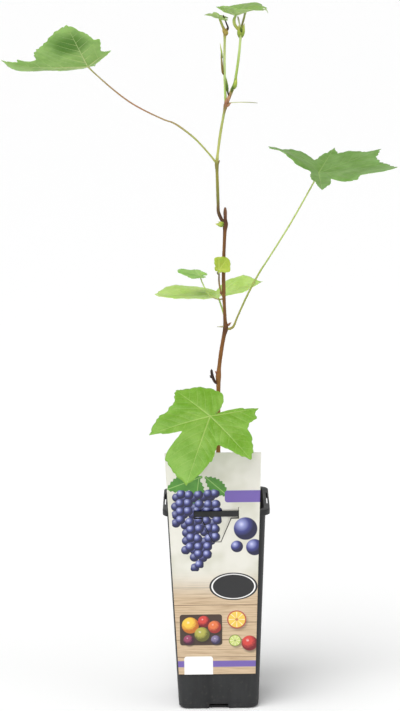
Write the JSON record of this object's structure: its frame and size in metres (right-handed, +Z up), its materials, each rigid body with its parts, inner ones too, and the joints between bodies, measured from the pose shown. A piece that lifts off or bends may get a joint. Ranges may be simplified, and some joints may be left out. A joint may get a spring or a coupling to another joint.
{
  "type": "young potted grapevine",
  "caption": "Young grapevine with one slim stem, long-stalked lobed leaves and a green top shoot, in a tall square tapered nursery pot with a hanging card label.",
  "frame": {"origin": "centre of the pot's flat underside, on the surface it stands on", "axes": "+Z up along the pot and the stem, -Y to the front where the card label hangs, +X to the right seen from the front"},
  "size_m": [0.397, 0.1952, 0.7263],
  "materials": {
    "pot_plastic": "satin",
    "potting_soil": "matte",
    "printed_card": "satin",
    "brown_stem": "matte",
    "dead_wood": "matte",
    "green_stem": "satin",
    "leaf_stalk": "satin",
    "leaf_blade": "satin"
  },
  "bodies": {
    "root": {"pot": "pot_plastic", "potting_soil": "potting_soil", "card_label": "printed_card", "main_stem": "brown_stem", "pruned_stub": "dead_wood", "side_twig": "brown_stem", "green_shoot": "green_stem", "shoot_left": "green_stem", "shoot_right": "green_stem", "stalk_upper_left": "leaf_stalk", "stalk_right": "leaf_stalk", "stalk_behind": "leaf_stalk", "stalk_front": "leaf_stalk", "stalk_small_back": "leaf_stalk", "stalk_folded": "leaf_stalk", "stalk_top_right": "leaf_stalk", "stalk_top_left": "leaf_stalk", "leaf_upper_left": "leaf_blade", "leaf_right": "leaf_blade", "leaf_behind": "leaf_blade", "leaf_front": "leaf_blade", "leaf_folded": "leaf_blade", "leaf_small_back": "leaf_blade", "leaf_top_right": "leaf_blade", "leaf_top_left": "leaf_blade"}
  },
  "joints": []
}
